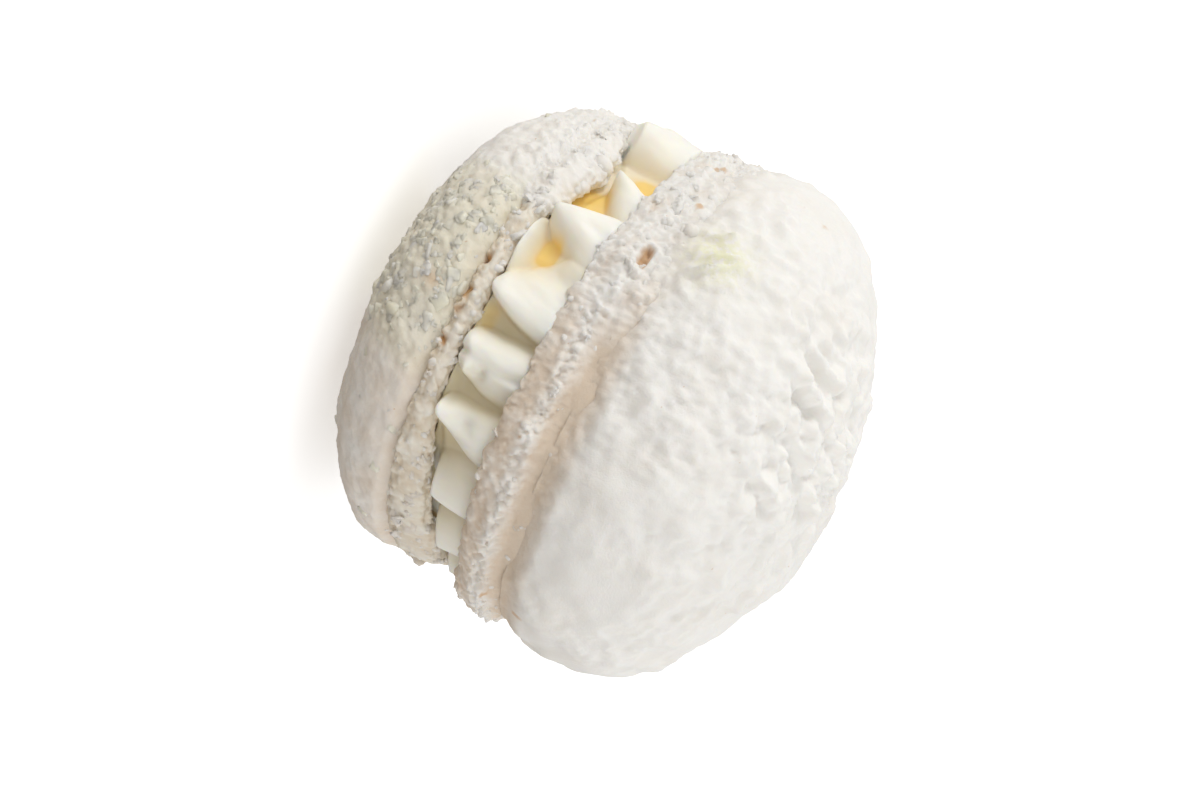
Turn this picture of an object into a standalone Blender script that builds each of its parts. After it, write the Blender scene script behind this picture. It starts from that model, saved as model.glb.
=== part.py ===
"""French macaron: two domed meringue shells with ruffled feet and a star-piped buttercream filling.

The macaron lies flat. The origin is the centre of the flat spot that it rests on, +Z runs up its axis,
and the front, where the filling stands tallest, faces -Y. All lengths are in metres.
"""

from math import atan2, cos, degrees, exp, hypot, pi, radians, sin, tan

import bmesh
import bpy
from mathutils import Vector, noise

# Driving dimensions
UPPER_RADIUS = 0.0214
UPPER_DOME_HEIGHT = 0.0179
UPPER_FOOT_HEIGHT = 0.0045
LOWER_RADIUS = 0.0197
LOWER_DOME_HEIGHT = 0.0097
LOWER_FOOT_HEIGHT = 0.0018
RESTING_RADIUS = 0.0050
CREASE_DEPTH = 0.0008
GAP_AT_CENTRE = 0.0039
UPPER_TILT = radians(4.6)
CLEARANCE = 0.0003

# Bearings are in degrees about +Z, from the front towards +X.

# The lower foot's rim: it stands up where it didn't break off, as (bearing, lift)
RIM_THICKNESS = 0.0017
RIM_LIFTS = [
    (-180, 0.0008),
    (-110, 0.0007),
    (-84, 0.0),
    (-68, 0.0002),
    (-58, 0.0010),
    (-47, 0.0020),
    (-30, 0.0008),
    (-26, 0.0),
    (22, 0.0),
    (42, 0.0010),
    (56, 0.0014),
    (66, 0.0021),
    (82, 0.0023),
    (110, 0.0008),
    (180, 0.0008),
]

# The upper foot is narrower than its dome at the left
FOOT_TUCK = 0.0009

# Piped filling: the front ridges, left to right, as the bearings of each one's tip and of its upper
# left and right ends, the share of its width at which its crest lies, and how it narrows to its tip
FRONT_RIDGES = [
    (-86, -98, -80, 0.50, 0.5),
    (-68, -84, -53, 0.50, 0.4),
    (-48, -53, -34, 0.50, 0.6),
    (-27.5, -34, -20, 0.45, 0.6),
    (-8, -20, -0.5, 0.80, 0.7),
    (8, 3, 16, 0.45, 0.3),
    (24, 19, 33.5, 0.55, 0.4),
    (42, 36, 49.5, 0.85, 0.5),
    (60, 53, 65.5, 0.85, 0.5),
    (77, 69, 83, 0.85, 0.5),
]
BACK_RIDGES = 10
CREST_RADIUS = 0.0200
VALLEY_RADIUS = 0.0160
SIDE_CREST_RADIUS = 0.0172
ROW_MARGIN = 0.0010

# Mesh density
SHELL_SEGMENTS = 96
FILLING_SEGMENTS = 180
DOME_STEPS = 8
LIP_STEPS = 2
FILLING_ROWS = 7
POLE_MERGE = 1e-6

# Unevenness: how many lumps a metre the foot and the dome have, and where the dome's lumps fade in
FOOT_GRAIN = 420
DOME_GRAIN = 130
LIP_HEIGHT = 0.0016
SPOT_DEPTH = 0.00005

# Colours, as linear RGB
SHELL_COLOUR = (0.80, 0.76, 0.70, 1.0)
CREAM_COLOUR = (0.86, 0.78, 0.58, 1.0)

LOWER_HEIGHT = LOWER_DOME_HEIGHT + LOWER_FOOT_HEIGHT
UPPER_BASE = LOWER_HEIGHT + GAP_AT_CENTRE


def material(name, colour, roughness):
    """A matt material of one colour."""
    made = bpy.data.materials.new(name)
    made.use_nodes = True
    shader = made.node_tree.nodes["Principled BSDF"]
    shader.inputs["Base Color"].default_value = colour
    shader.inputs["Roughness"].default_value = roughness
    shader.inputs["Metallic"].default_value = 0.0
    return made


def turned_mesh(name, profile, segments):
    """The closed mesh of a profile of (radius, height) points, top to bottom, turned about Z."""
    outline = bpy.data.meshes.new(name + "_outline")
    edges = [(i, i + 1) for i in range(len(profile) - 1)]
    outline.from_pydata([(radius, 0.0, height) for radius, height in profile], edges, [])
    blank = bpy.data.objects.new(name + "_blank", outline)
    bpy.context.scene.collection.objects.link(blank)
    screw = blank.modifiers.new("turn", "SCREW")
    screw.axis = "Z"
    screw.angle = 2 * pi
    screw.steps = screw.render_steps = segments
    screw.use_merge_vertices = True
    screw.merge_threshold = POLE_MERGE
    screw.use_smooth_shade = True
    graph = bpy.context.evaluated_depsgraph_get()
    made = bpy.data.meshes.new_from_object(blank.evaluated_get(graph))
    made.name = name
    bpy.data.objects.remove(blank)
    bpy.data.meshes.remove(outline)
    return made


def reshape(mesh, move):
    """Moves every vertex of a mesh to where move puts it, and splits its quads evenly."""
    shaped = bmesh.new()
    shaped.from_mesh(mesh)
    for vertex in shaped.verts:
        vertex.co = move(vertex.co)
    bmesh.ops.triangulate(shaped, faces=shaped.faces[:], quad_method="BEAUTY")
    shaped.to_mesh(mesh)
    shaped.free()
    mesh.shade_smooth()
    mesh.set_sharp_from_angle(angle=radians(50))


def place(name, mesh, finish, collection):
    """An object of that mesh and material in the collection."""
    made = bpy.data.objects.new(name, mesh)
    mesh.materials.append(finish)
    collection.objects.link(made)
    return made


def shell_profile(radius, dome, foot, roundness, flat=0.0, rim=0.0):
    """Half a shell's section, from the apex down its dome, lip, crease and foot to the underside's centre.

    A rim is that thick, and has rows of its own so that it can stand up.
    """
    widest = foot + 0.13 * dome
    crease_radius = radius - CREASE_DEPTH
    points = [(0.0, foot + dome)]
    if flat:
        points.append((flat, foot + dome))
    for i in range(1, DOME_STEPS + 1):
        turn = i / DOME_STEPS * pi / 2
        outward = sin(turn) ** (2 / roundness)
        upward = cos(turn) ** (2 / roundness)
        points.append((flat + (radius - flat) * outward, widest + (foot + dome - widest) * upward))
    for i in range(1, LIP_STEPS + 1):
        turn = i / LIP_STEPS * pi / 2
        points.append((crease_radius + (radius - crease_radius) * cos(turn), widest - (widest - foot) * sin(turn)))
    points += [
        (radius - 0.0003, 0.80 * foot),
        (radius - 0.0001, 0.55 * foot),
        (radius - 0.0005, 0.30 * foot),
        (radius - 0.0006, 0.12 * foot),
        (radius - 0.0011, 0.0),
    ]
    if rim:
        points += [(radius - rim, 0.0), (radius - rim - 0.0003, 0.0)]
    return points + [(radius * 0.5, 0.0), (0.0, 0.0)]


def bearing_of(point):
    """The bearing of a point in degrees."""
    return degrees(atan2(point.x, -point.y))


def angle_apart(first, second):
    """The smallest turn in degrees from the second bearing to the first."""
    return (first - second + 180) % 360 - 180


def rim_lift(bearing):
    """How far the lower foot's rim stands up at a bearing."""
    for (start, low), (end, high) in zip(RIM_LIFTS, RIM_LIFTS[1:]):
        if start <= bearing <= end:
            return low + (high - low) * (bearing - start) / (end - start)
    return 0.0


def uneven(radius, foot, seed, outline, hills, ruffle=0.0003, lumps=0.0003, tuck=0.0):
    """How a shell departs from its turned blank: a wavy outline, a ruffled foot, and hills and dents.

    The outline is a list of (lobes, share of the radius, azimuth in degrees of one lobe). A hill is
    (azimuth in degrees, share of the radius, height, width), and a dent's height is negative. The foot
    is tucked in at the left by that much. The underside stays flat.
    """
    centres = []
    for azimuth, share, height, width in hills:
        turn = radians(azimuth)
        centres.append((Vector((cos(turn), sin(turn))) * radius * share, height, width))

    def move(point):
        out = hypot(point.x, point.y)
        around = atan2(point.y, point.x)
        stretch = 1.0
        for lobes, share, azimuth in outline:
            stretch += share * cos(lobes * (around - radians(azimuth)))
        if 0.0 < point.z < foot * 1.02:
            grain = noise.noise(Vector((point.x, point.y, 1.6 * point.z)) * FOOT_GRAIN + Vector((seed, 0, 0)))
            stretch += 2 * ruffle * grain / out
        if tuck and out:
            low = min(1.0, max(0.0, 1 - (point.z - foot) / LIP_HEIGHT))
            stretch -= tuck * low * max(0.0, -point.x / out) ** 2 / radius
        moved = Vector((point.x * stretch, point.y * stretch, point.z))
        above_foot = point.z - foot
        if above_foot > 0.0:
            share = min(1.0, above_foot / LIP_HEIGHT)
            grain = noise.noise(point * DOME_GRAIN + Vector((0, seed, 0)))
            outward = Vector((point.x, point.y, 1.3 * above_foot)).normalized()
            moved += outward * 2 * lumps * grain * share
            for centre, height, width in centres:
                distance = (point.xy - centre).length
                moved.z += height * share * exp(-((distance / width) ** 2))
        return moved

    return move


def upper_shell(finish, collection):
    """The upper shell, tall and tipped back a little, with its front raised on the filling."""
    profile = shell_profile(UPPER_RADIUS, UPPER_DOME_HEIGHT, UPPER_FOOT_HEIGHT, roundness=2.3)
    mesh = turned_mesh("shell_upper", profile, SHELL_SEGMENTS)
    outline = [(1, 0.003, 0), (2, 0.006, 0), (3, 0.008, 75), (5, 0.004, 10)]
    hills = [
        (0, 0.36, 0.0007, 0.007),
        (20, 0.85, -0.0012, 0.008),
        (180, 0.85, -0.0005, 0.008),
        (215, 0.62, -0.0005, 0.007),
    ]
    reshape(mesh, uneven(UPPER_RADIUS, UPPER_FOOT_HEIGHT, 1.7, outline, hills, tuck=FOOT_TUCK))
    shell = place("shell_upper", mesh, finish, collection)
    shell.location = (0.0, 0.0, UPPER_BASE)
    shell.rotation_euler = (-UPPER_TILT, 0.0, 0.0)
    return shell


def lower_shell(finish, collection):
    """The lower shell, turned over after baking, so that the dome rests on the table by its flat spot."""
    profile = shell_profile(
        LOWER_RADIUS, LOWER_DOME_HEIGHT, LOWER_FOOT_HEIGHT, 2.1, RESTING_RADIUS, RIM_THICKNESS
    )
    mesh = turned_mesh("shell_lower", profile, SHELL_SEGMENTS)
    outline = [(1, 0.010, 0), (2, 0.005, 10), (3, 0.006, 0), (4, 0.003, 30)]
    departs = uneven(LOWER_RADIUS, LOWER_FOOT_HEIGHT, 4.2, outline, [], lumps=0.0002)

    def move(point):
        moved = departs(point)
        at_rim = hypot(point.x, point.y) > LOWER_RADIUS - RIM_THICKNESS - 0.0001
        if at_rim and point.z < 0.5 * LOWER_FOOT_HEIGHT:
            turned_over = Vector((point.x, -point.y))
            moved.z -= rim_lift(bearing_of(turned_over)) * (1 - 2 * point.z / LOWER_FOOT_HEIGHT)
        on_the_spot = point.z > LOWER_HEIGHT - SPOT_DEPTH
        moved.z = LOWER_HEIGHT if on_the_spot else min(moved.z, LOWER_HEIGHT - SPOT_DEPTH)
        return moved

    reshape(mesh, move)
    shell = place("shell_lower", mesh, finish, collection)
    shell.location = (0.0, 0.0, LOWER_HEIGHT)
    shell.rotation_euler = (pi, 0.0, 0.0)
    return shell


def piped_ridges():
    """Every ridge, the front ones as listed and the back ones evenly spread between them."""
    first, last = FRONT_RIDGES[0][0], FRONT_RIDGES[-1][0]
    pitch = (first + 360 - last) / (BACK_RIDGES + 1)
    tips = [last + pitch * (i + 1) for i in range(BACK_RIDGES)]
    return FRONT_RIDGES + [(tip, tip - 0.5 * pitch, tip + 0.4 * pitch, 0.75, 0.5) for tip in tips]


def piped_radius(ridges, bearing, rise):
    """The filling's radius at a bearing and a share of its height: pointed ridges that widen upwards."""
    height = 0.0
    for tip, left, right, crest, narrowing in ridges:
        spread = rise**narrowing
        start = tip + (left - tip) * spread - 1.2
        end = tip + (right - tip) * spread + 1.2
        across = angle_apart(bearing, start + crest * (end - start))
        side = crest if across < 0 else 1 - crest
        share = abs(across) / (side * (end - start))
        if share < 1:
            height = max(height, cos(pi / 2 * share) ** 0.8)
    valley = VALLEY_RADIUS + 0.001 * rise
    return valley + (CREST_RADIUS * (1 - 0.03 * rise) - valley) * height


def filling(finish, collection):
    """The buttercream, one piped layer that runs right through between the two undersides."""
    rows = [i / FILLING_ROWS for i in range(FILLING_ROWS, -1, -1)]
    profile = [(0.0, 1.0)] + [(1.0, rise) for rise in rows] + [(0.0, 0.0)]
    mesh = turned_mesh("filling", profile, FILLING_SEGMENTS)
    floor = LOWER_HEIGHT + CLEARANCE
    ridges = piped_ridges()

    def move(point):
        bearing = bearing_of(point)
        out = hypot(point.x, point.y)
        radius = piped_radius(ridges, bearing, point.z)
        x, y = radius * sin(radians(bearing)), -radius * cos(radians(bearing))
        ceiling = UPPER_BASE - CLEARANCE - y * tan(UPPER_TILT)
        height = floor + (ceiling - floor) * point.z
        lift = rim_lift(bearing)
        if height < LOWER_HEIGHT + lift + ROW_MARGIN:
            narrowed = min(1.0, lift / CLEARANCE)
            radius = min(radius, CREST_RADIUS - (CREST_RADIUS - SIDE_CREST_RADIUS) * narrowed)
        return Vector((out * radius * sin(radians(bearing)), -out * radius * cos(radians(bearing)), height))

    reshape(mesh, move)
    return place("filling", mesh, finish, collection)


def main():
    for old in list(bpy.data.objects):
        bpy.data.objects.remove(old)
    macaron = bpy.data.collections.new("french_macaron")
    bpy.context.scene.collection.children.link(macaron)
    shell_finish = material("almond_shell", SHELL_COLOUR, 0.75)
    cream_finish = material("buttercream", CREAM_COLOUR, 0.45)
    lower_shell(shell_finish, macaron)
    filling(cream_finish, macaron)
    upper_shell(shell_finish, macaron)


main()
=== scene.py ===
"""French macaron: the looks of two meringue shells and the star-piped buttercream between them.

Everything is in metres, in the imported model's frame. The macaron lies flat, +Z runs up through it,
and -Y is its front. A bearing is an angle about +Z, in degrees, from the front towards +X.
"""

import random
from collections import namedtuple
from math import atan2, cos, degrees, exp, hypot, pi, radians, sin, tan

import bmesh
import bpy
from mathutils import Euler, Matrix, Vector, noise


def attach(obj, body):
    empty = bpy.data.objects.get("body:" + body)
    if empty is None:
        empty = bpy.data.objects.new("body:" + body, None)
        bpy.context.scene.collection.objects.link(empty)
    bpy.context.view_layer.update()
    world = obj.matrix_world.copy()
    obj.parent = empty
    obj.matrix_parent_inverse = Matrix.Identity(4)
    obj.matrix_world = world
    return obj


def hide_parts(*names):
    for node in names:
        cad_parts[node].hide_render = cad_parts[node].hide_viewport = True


bl_info = {
    "name": "French macaron",
    "version": (1, 0, 0),
    "blender": (4, 5, 0),
    "location": "View3D > Sidebar > Macaron",
    "description": "Makes the shells, buttercream, crumbs and sugar of a french macaron",
    "category": "Add Mesh",
}

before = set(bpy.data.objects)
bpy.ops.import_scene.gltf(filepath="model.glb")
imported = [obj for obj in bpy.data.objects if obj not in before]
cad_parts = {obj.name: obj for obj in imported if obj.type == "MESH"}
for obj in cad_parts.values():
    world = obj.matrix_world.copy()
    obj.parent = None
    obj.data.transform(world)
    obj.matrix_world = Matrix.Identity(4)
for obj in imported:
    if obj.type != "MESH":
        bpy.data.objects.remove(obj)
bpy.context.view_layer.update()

MM = 0.001
POLE_MERGE = 1e-7

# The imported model's node and slot that each part's pieces stand for
NODES = {
    "upper": ("shell_upper", "almond_shell"),
    "lower": ("shell_lower", "almond_shell"),
    "cream": ("filling", "buttercream"),
}

# How finely each shape is made
DOME_STEPS = 600
FOOT_STEPS = 896
CREAM_STEPS = 960
CREAM_ROWS = 56
FLOOR_STEPS = 96
SWEEP_ROWS = 12
ARC_ROWS = 400
TUCK_ROWS = 39


# Sizes and colours that a user would change


def length(name, description, millimetres):
    """A length property with its default in millimetres."""
    return bpy.props.FloatProperty(
        name=name, description=description, default=millimetres * MM, unit="LENGTH", precision=5
    )


def angle(name, description, turn):
    """An angle property with its default in degrees."""
    return bpy.props.FloatProperty(
        name=name, description=description, default=radians(turn), subtype="ANGLE", unit="ROTATION"
    )


def colour(name, description, red, green, blue):
    """A colour property with a linear default."""
    return bpy.props.FloatVectorProperty(
        name=name, description=description, default=(red, green, blue), subtype="COLOR", min=0, max=1
    )


class MacaronSizes(bpy.types.PropertyGroup):
    """Sizes of the shells, their feet and the piped layer."""

    upper_radius: length("Upper radius", "Radius of the upper shell at its widest", 21.4)
    upper_dome: length("Upper dome", "Height of the upper dome above its foot", 17.9)
    upper_foot: length("Upper foot", "Height of the upper shell's ruffled foot", 4.5)
    upper_base: length("Upper base", "Height of the upper shell's underside on the axis", 15.4)
    upper_tilt: angle("Upper tilt", "How far the upper shell tips back", 4.6)
    lower_radius: length("Lower radius", "Radius of the lower shell at its widest", 19.7)
    lower_dome: length("Lower dome", "Height of the lower dome up to its crease", 9.7)
    ledge: length("Ledge", "Height of the lower shell's top, inside its standing rim", 11.5)
    rim_thickness: length("Rim thickness", "Thickness of the lower foot's standing rim", 1.7)
    foot_tuck: length("Foot tuck", "How far the upper foot is tucked in at the left", 0.9)
    resting_radius: length("Resting radius", "Radius of the flat spot under the lower shell", 5.0)
    crease: length("Crease", "How far a dome turns in above its foot", 0.8)
    crest_radius: length("Crest radius", "Radius of the piped ridges", 20.0)
    valley_radius: length("Valley radius", "Radius of the valleys between the ridges", 17.5)
    side_crest_radius: length("Side crest radius", "Radius of the ridges behind the standing rim", 17.3)
    grain: length("Sugar grain", "Usual size across of a sugar crystal", 0.66)
    crumb: length("Crumb", "Usual size across of a foot's crumb", 0.52)
    clump: length("Clump", "Usual size across of a foot's clump", 0.92)


class MacaronColours(bpy.types.PropertyGroup):
    """Colours of the meringue, its baked patches and the buttercream, some of them also laid on as painted
    shade and glow.
    """

    meringue: colour("Meringue", "Dry white crust", 0.85, 0.835, 0.80)
    meringue_warm: colour("Warm meringue", "Creamier patches of the crust", 0.82, 0.785, 0.725)
    # The crumb colour is also painted as shade under the upper dome's lip, in the feet's creases and
    # hollows, and more at the right, away from the key light.
    crumb: colour("Crumb", "Inside crumb that shows at the feet", 0.70, 0.585, 0.465)
    toasted: colour("Toasted", "Browned specks and cracks", 0.60, 0.36, 0.17)
    sugary: colour("Sugary", "Glassy sugar on the lower dome", 0.80, 0.76, 0.60)
    flake: colour("Flake", "Greenish yellow flaky patch", 0.80, 0.79, 0.55)
    cream: colour("Buttercream", "Lit face of the buttercream", 0.92, 0.905, 0.83)
    # Deep and shaded buttercream are painted light: amber shade with a warm glow of light through the cream
    # between the left ridges, and khaki shade between the right ridges.
    cream_deep: colour("Deep buttercream", "Buttercream deep between the left ridges", 0.95, 0.66, 0.20)
    cream_shade: colour("Shaded buttercream", "Buttercream deep between the right ridges", 0.66, 0.57, 0.37)


class MacaronStage(bpy.types.PropertyGroup):
    """The floor, the lights and the camera."""

    elevation: angle("Elevation", "How far the camera looks down", 15.0)
    roll: angle("Roll", "How far the camera is rolled about its view", 118.9)
    distance: length("Distance", "From the camera to its target", 215.0)
    target_right: length("Target right", "Camera target to the right of the axis", 1.6)
    target_height: length("Target height", "Camera target above the floor", 18.7)
    target_drop: length("Target drop", "Camera target lowered in the view", 0.9)
    frame_width: length("Frame width", "Width of the view at the target", 96.0)
    floor_radius: length("Floor radius", "Radius of the flat floor", 900.0)
    sweep: length("Sweep", "Height of the floor's curved rim", 600.0)
    floor: colour("Floor", "Pale floor", 0.97, 0.97, 0.97)
    from_above: colour("From above", "Colour of the soft light from above", 0.955, 0.953, 0.95)
    from_below: colour("From below", "Colour of the soft light from below", 0.30, 0.27, 0.24)
    from_below_left: colour("From below left", "Soft light from below at the left", 0.80, 0.775, 0.74)
    daylight: bpy.props.FloatProperty(
        name="Daylight", description="Strength of the soft light from all around", default=1.0, min=0
    )


# Shader maths


class Wire:
    """A shader socket that Python's operators work on."""

    def __init__(self, sheet, socket):
        self.sheet = sheet
        self.socket = socket

    def maths(self, operation, *values, clamp=False):
        settings = {"operation": operation, "use_clamp": clamp}
        return self.sheet.node("Math", settings, dict(enumerate(values)))

    def __add__(self, other):
        return self.maths("ADD", self, other)

    def __sub__(self, other):
        return self.maths("SUBTRACT", self, other)

    def __rsub__(self, other):
        return self.maths("SUBTRACT", other, self)

    def __mul__(self, other):
        return self.maths("MULTIPLY", self, other)

    __radd__ = __add__
    __rmul__ = __mul__

    def clamped(self):
        return self.maths("ADD", self, 0.0, clamp=True)

    def between(self, low, high):
        """0 below low, 1 above high, and a soft step between."""
        settings = {"interpolation_type": "SMOOTHSTEP", "clamp": True}
        return self.sheet.node("MapRange", settings, {"Value": self, "From Min": low, "From Max": high})


class Sheet:
    """The nodes of one material."""

    def __init__(self, name, **constants):
        self.material = bpy.data.materials.new(name)
        self.material.use_nodes = True
        self.tree = self.material.node_tree
        self.shader = self.tree.nodes["Principled BSDF"]
        for socket, value in constants.items():
            self.shader.inputs[socket.replace("_", " ")].default_value = value
        self.place = self.node("TexCoord", output="Object")

    def node(self, kind, settings=None, inputs=None, output=0):
        """Adds a node of a type, with its settings first and then its sockets' values or links."""
        made = self.tree.nodes.new("ShaderNode" + kind)
        for setting, value in (settings or {}).items():
            setattr(made, setting, value)
        for socket, value in (inputs or {}).items():
            self.feed(made.inputs[socket], value)
        return Wire(self, made.outputs[output])

    def feed(self, socket, value):
        if isinstance(value, Wire):
            self.tree.links.new(value.socket, socket)
        elif socket.type == "RGBA":
            socket.default_value = (*value[:3], 1.0)
        else:
            socket.default_value = value

    def shade(self, **wires):
        for socket, wire in wires.items():
            self.feed(self.shader.inputs[socket.replace("_", " ")], wire)

    def noise(self, size, detail, roughness=0.5, shift=0.0):
        """Soft noise, 0 to 1, whose lumps are of that size in metres."""
        place = self.node("VectorMath", {"operation": "ADD"}, {0: self.place, 1: (shift, shift, shift)})
        sockets = {"Vector": place, "Scale": 1 / size, "Detail": detail, "Roughness": roughness}
        return self.node("TexNoise", None, sockets)

    def painted(self, name):
        """A value that was painted on the mesh."""
        return self.node("Attribute", {"attribute_name": name}, output="Fac")

    def mix(self, share, first, second):
        settings = {"data_type": "RGBA", "clamp_factor": True}
        return self.node("Mix", settings, {0: share, 6: first, 7: second}, output=2)

    def bump(self, height, distance, strength):
        return self.node("Bump", None, {"Height": height, "Distance": distance, "Strength": strength})


# Shapes


def smooth_step(low, high, value):
    """0 at low, 1 at high, and a soft step between."""
    share = min(1.0, max(0.0, (value - low) / (high - low)))
    return share * share * (3 - 2 * share)


def bump_between(low, high, value, soft):
    """1 between low and high, with soft ends."""
    return smooth_step(low - soft, low + soft, value) * (1 - smooth_step(high - soft, high + soft, value))


def hump(off, width):
    """1 in the middle, falling away softly over a width."""
    return exp(-((off / width) ** 2))


def grain_noise(point, size, seed):
    """Perlin noise, about -1 to 1, whose lumps are of that size."""
    return noise.noise(point / size + Vector((seed, 0.5 * seed, -seed)))


def cells(point, size, seed):
    """Rounded lumps with creases between them, about 0 to 1."""
    nearest = noise.voronoi(point / size + Vector((seed, -seed, 2 * seed)))[0]
    return min(1.0, max(0.0, (nearest[1] - nearest[0]) * 1.6))


def crumbly(point, size, seed):
    """Uneven crumb, about -0.5 to 0.5: lumps of several sizes that are pulled out of round."""
    pull = Vector((grain_noise(point, size, seed), grain_noise(point, size, seed + 7), 0))
    pulled = point + pull * size * 0.35
    big = cells(pulled, size, seed)
    small = cells(pulled, size * 0.45, seed + 3)
    return 0.62 * big + 0.38 * small - 0.45 + 0.35 * grain_noise(point, size * 2.4, seed + 5)


def bearing_of(point):
    """The bearing in degrees of a point, from the front towards +X."""
    return degrees(atan2(point.x, -point.y))


def rightward(bearing, start, end):
    """0 at the left of the front and 1 at its right, evening out to a half round the back."""
    share = smooth_step(start, end, bearing)
    return share + (0.5 - share) * smooth_step(110, 178, abs(bearing))


def angle_apart(first, second):
    """The smallest turn in degrees from the second bearing to the first."""
    return (first - second + 180) % 360 - 180


def between_knots(knots, value):
    """The height at a value of a line through (value, height) knots."""
    for (start, low), (end, high) in zip(knots, knots[1:]):
        if start <= value <= end:
            return low + (high - low) * (value - start) / (end - start)
    return 0.0


def curve_through(a, b, c, d, t):
    """The value a share t of the way from b to c on a smooth curve, with a before them and d after."""
    return 0.5 * (
        2 * b + (c - a) * t + (2 * a - 5 * b + 4 * c - d) * t**2 + (3 * b - a - 3 * c + d) * t**3
    )


def rounded_rows(corners, spacing):
    """A smooth (radius, height) outline through corners, with points at an even spacing."""
    smooth = [corners[0]]
    padded = [corners[0]] + corners + [corners[-1]]
    for before, start, end, after in zip(padded, padded[1:], padded[2:], padded[3:]):
        for i in range(1, 9):
            smooth.append(tuple(curve_through(*four, i / 8) for four in zip(before, start, end, after)))
    return evened(smooth, spacing)


def evened(points, spacing):
    """A fine outline picked out again at an even spacing."""
    rows = [points[0]]
    gone = 0.0
    for start, end in zip(points, points[1:]):
        gone += hypot(end[0] - start[0], end[1] - start[1])
        if gone >= spacing:
            rows.append(end)
            gone = 0.0
    if rows[-1] != points[-1]:
        rows.append(points[-1])
    return rows


# How far up a dome it is widest
WIDEST_SHARE = 0.13


def dome_rows(radius, foot, dome, roundness, flat, crease, spacing):
    """A dome's outline from its apex over its widest part to its crease, then in to the axis."""
    widest = foot + WIDEST_SHARE * dome
    points = [(0.0, foot + dome)]
    for i in range(ARC_ROWS + 1):
        turn = i / ARC_ROWS * pi / 2
        outward = sin(turn) ** (2 / roundness)
        upward = cos(turn) ** (2 / roundness)
        points.append((flat + (radius - flat) * outward, widest + (foot + dome - widest) * upward))
    for i in range(1, TUCK_ROWS + 1):
        inward = crease * smooth_step(0, TUCK_ROWS + 1, i)
        points.append((radius - inward, widest - (widest - foot) * i / TUCK_ROWS))
    return evened(points, spacing) + [(radius - 2 * crease, foot - 0.2 * MM), (0.0, foot - 0.2 * MM)]


def turned(rows, steps):
    """A closed bmesh of an outline spun about Z."""
    shape = bmesh.new()
    points = [shape.verts.new((radius, 0.0, height)) for radius, height in rows]
    edges = [shape.edges.new(pair) for pair in zip(points, points[1:])]
    bmesh.ops.spin(
        shape,
        geom=points + edges,
        cent=(0, 0, 0),
        axis=(0, 0, 1),
        dvec=(0, 0, 0),
        angle=2 * pi,
        steps=steps,
        use_merge=True,
        use_duplicate=False,
    )
    bmesh.ops.remove_doubles(shape, verts=shape.verts[:], dist=POLE_MERGE)
    bmesh.ops.recalc_face_normals(shape, faces=shape.faces[:])
    return shape


def widen(point, wide):
    """Moves a point out from the axis, to so many times its distance."""
    point.x *= wide
    point.y *= wide


def sculpt(shape, move, layers):
    """Moves every vertex where move puts it, and paints the values that move gives with it."""
    painted = [shape.verts.layers.float.new(name) for name in layers]
    for vertex in shape.verts:
        vertex.co, *values = move(vertex.co)
        for layer, value in zip(painted, values):
            vertex[layer] = value
    shape.normal_update()
    bmesh.ops.recalc_face_normals(shape, faces=shape.faces[:])


def finished(shape, name, part, look):
    """Turns a bmesh into a finished piece of a part, with one of the looks."""
    node, slot = NODES[part]
    mesh = bpy.data.meshes.new(name)
    shape.to_mesh(mesh)
    shape.free()
    mesh.shade_smooth()
    mesh.materials.append(shared_material(look))
    piece = bpy.data.objects.new(name, mesh)
    bpy.context.scene.collection.objects.link(piece)
    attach(piece, "root")
    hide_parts(node)


# How the feet stand up and crumble

# (bearing, height of the standing rim in millimetres)
RIM_LIFTS = [
    (-180, 0.8),
    (-110, 0.7),
    (-84, 0.0),
    (-68, 0.2),
    (-58, 0.9),
    (-47, 1.8),
    (-30, 0.6),
    (-26, 0.0),
    (22, 0.0),
    (42, 1.0),
    (56, 1.4),
    (66, 2.1),
    (82, 2.3),
    (110, 0.8),
    (180, 0.8),
]


def rim_lift(bearing):
    """How far the lower foot's rim stands up at a bearing, where it didn't break off."""
    return between_knots(RIM_LIFTS, (bearing + 180) % 360 - 180) * MM


def crust(point, share=1.0):
    """The relief of broken meringue crust: clumps with gaps, down to fine crumb."""
    if share <= 0.0:
        return 0.0
    clumps = crumbly(point, 1.9 * MM, 61.0)
    crumbs = crumbly(point, 0.85 * MM, 12.0)
    fine = grain_noise(point, 0.42 * MM, 15.0)
    return share * (0.60 * clumps + 0.50 * crumbs + 0.20 * fine) * MM


def ragged_spot(away, place):
    """1 inside a spot and 0 outside it, with a ragged edge where away is about 1."""
    return 1 - smooth_step(0.5, 1.2, away + 0.6 * grain_noise(place, 0.5 * MM, 5.0))


# Materials


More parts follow.
